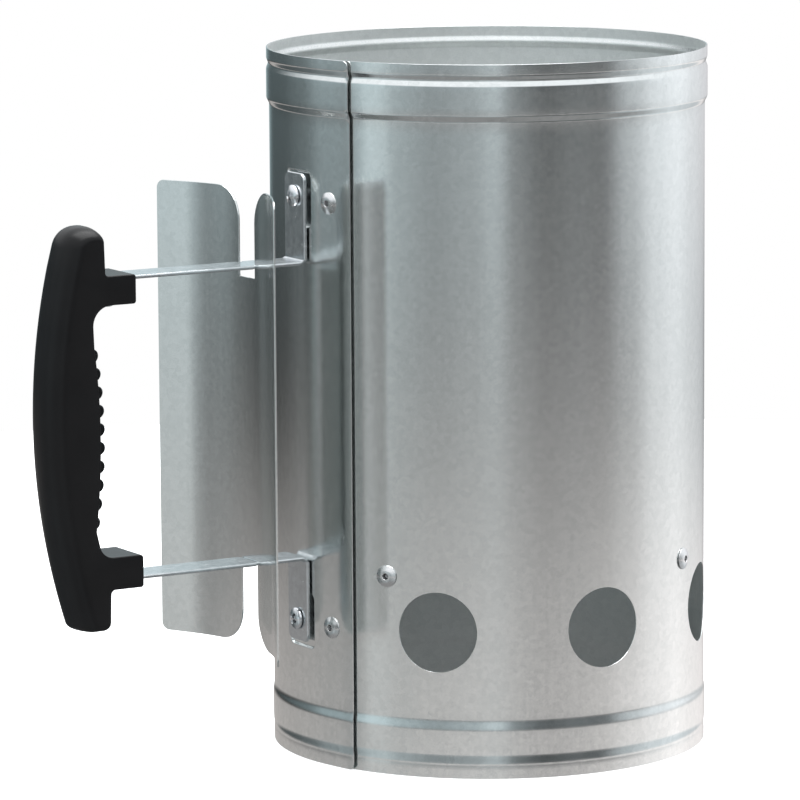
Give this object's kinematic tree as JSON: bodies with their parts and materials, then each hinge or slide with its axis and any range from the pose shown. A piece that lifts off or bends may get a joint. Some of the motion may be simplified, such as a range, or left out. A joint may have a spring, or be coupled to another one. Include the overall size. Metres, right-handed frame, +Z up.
{
  "type": "chimney charcoal starter",
  "caption": "Rolled sheet-metal chimney with draught holes and an inner fire grate, a side handle on two straps and a bent heat shield, for lighting charcoal.",
  "frame": {"origin": "centre of the bounding box at the base, which is on the handle's plane, 63 mm from the chimney's axis towards the handle", "axes": "+Z up along the chimney's axis, -X towards the handle"},
  "size_m": [0.317, 0.1914, 0.305],
  "materials": {
    "galvanised_sheet": "satin galvanised sheet with a faint soft spangle",
    "zinc_plate": "bright zinc plate",
    "rivet_aluminium": "bright",
    "mandrel_steel": "plain steel",
    "black_plastic": "fine-textured moulded black"
  },
  "bodies": {
    "root": {"outer_shell": "galvanised_sheet", "fire_grate": "galvanised_sheet", "heat_shield": "galvanised_sheet", "handle_grip": "black_plastic", "handle_strap_upper": "zinc_plate", "strap_screw_upper": "zinc_plate", "strap_washer_upper": "zinc_plate", "strap_nut_upper": "zinc_plate", "grip_screw_upper": "mandrel_steel", "seam_rivet_upper": "rivet_aluminium", "seam_rivet_upper_mandrel": "mandrel_steel", "handle_strap_lower": "zinc_plate", "strap_screw_lower": "zinc_plate", "strap_washer_lower": "zinc_plate", "strap_nut_lower": "zinc_plate", "grip_screw_lower": "mandrel_steel", "seam_rivet_lower": "rivet_aluminium", "seam_rivet_lower_mandrel": "mandrel_steel", "grate_rivet_1": "rivet_aluminium", "grate_rivet_1_mandrel": "mandrel_steel", "grate_rivet_2": "rivet_aluminium", "grate_rivet_2_mandrel": "mandrel_steel", "grate_rivet_3": "rivet_aluminium", "grate_rivet_3_mandrel": "mandrel_steel", "grate_rivet_4": "rivet_aluminium", "grate_rivet_4_mandrel": "mandrel_steel"}
  },
  "joints": []
}
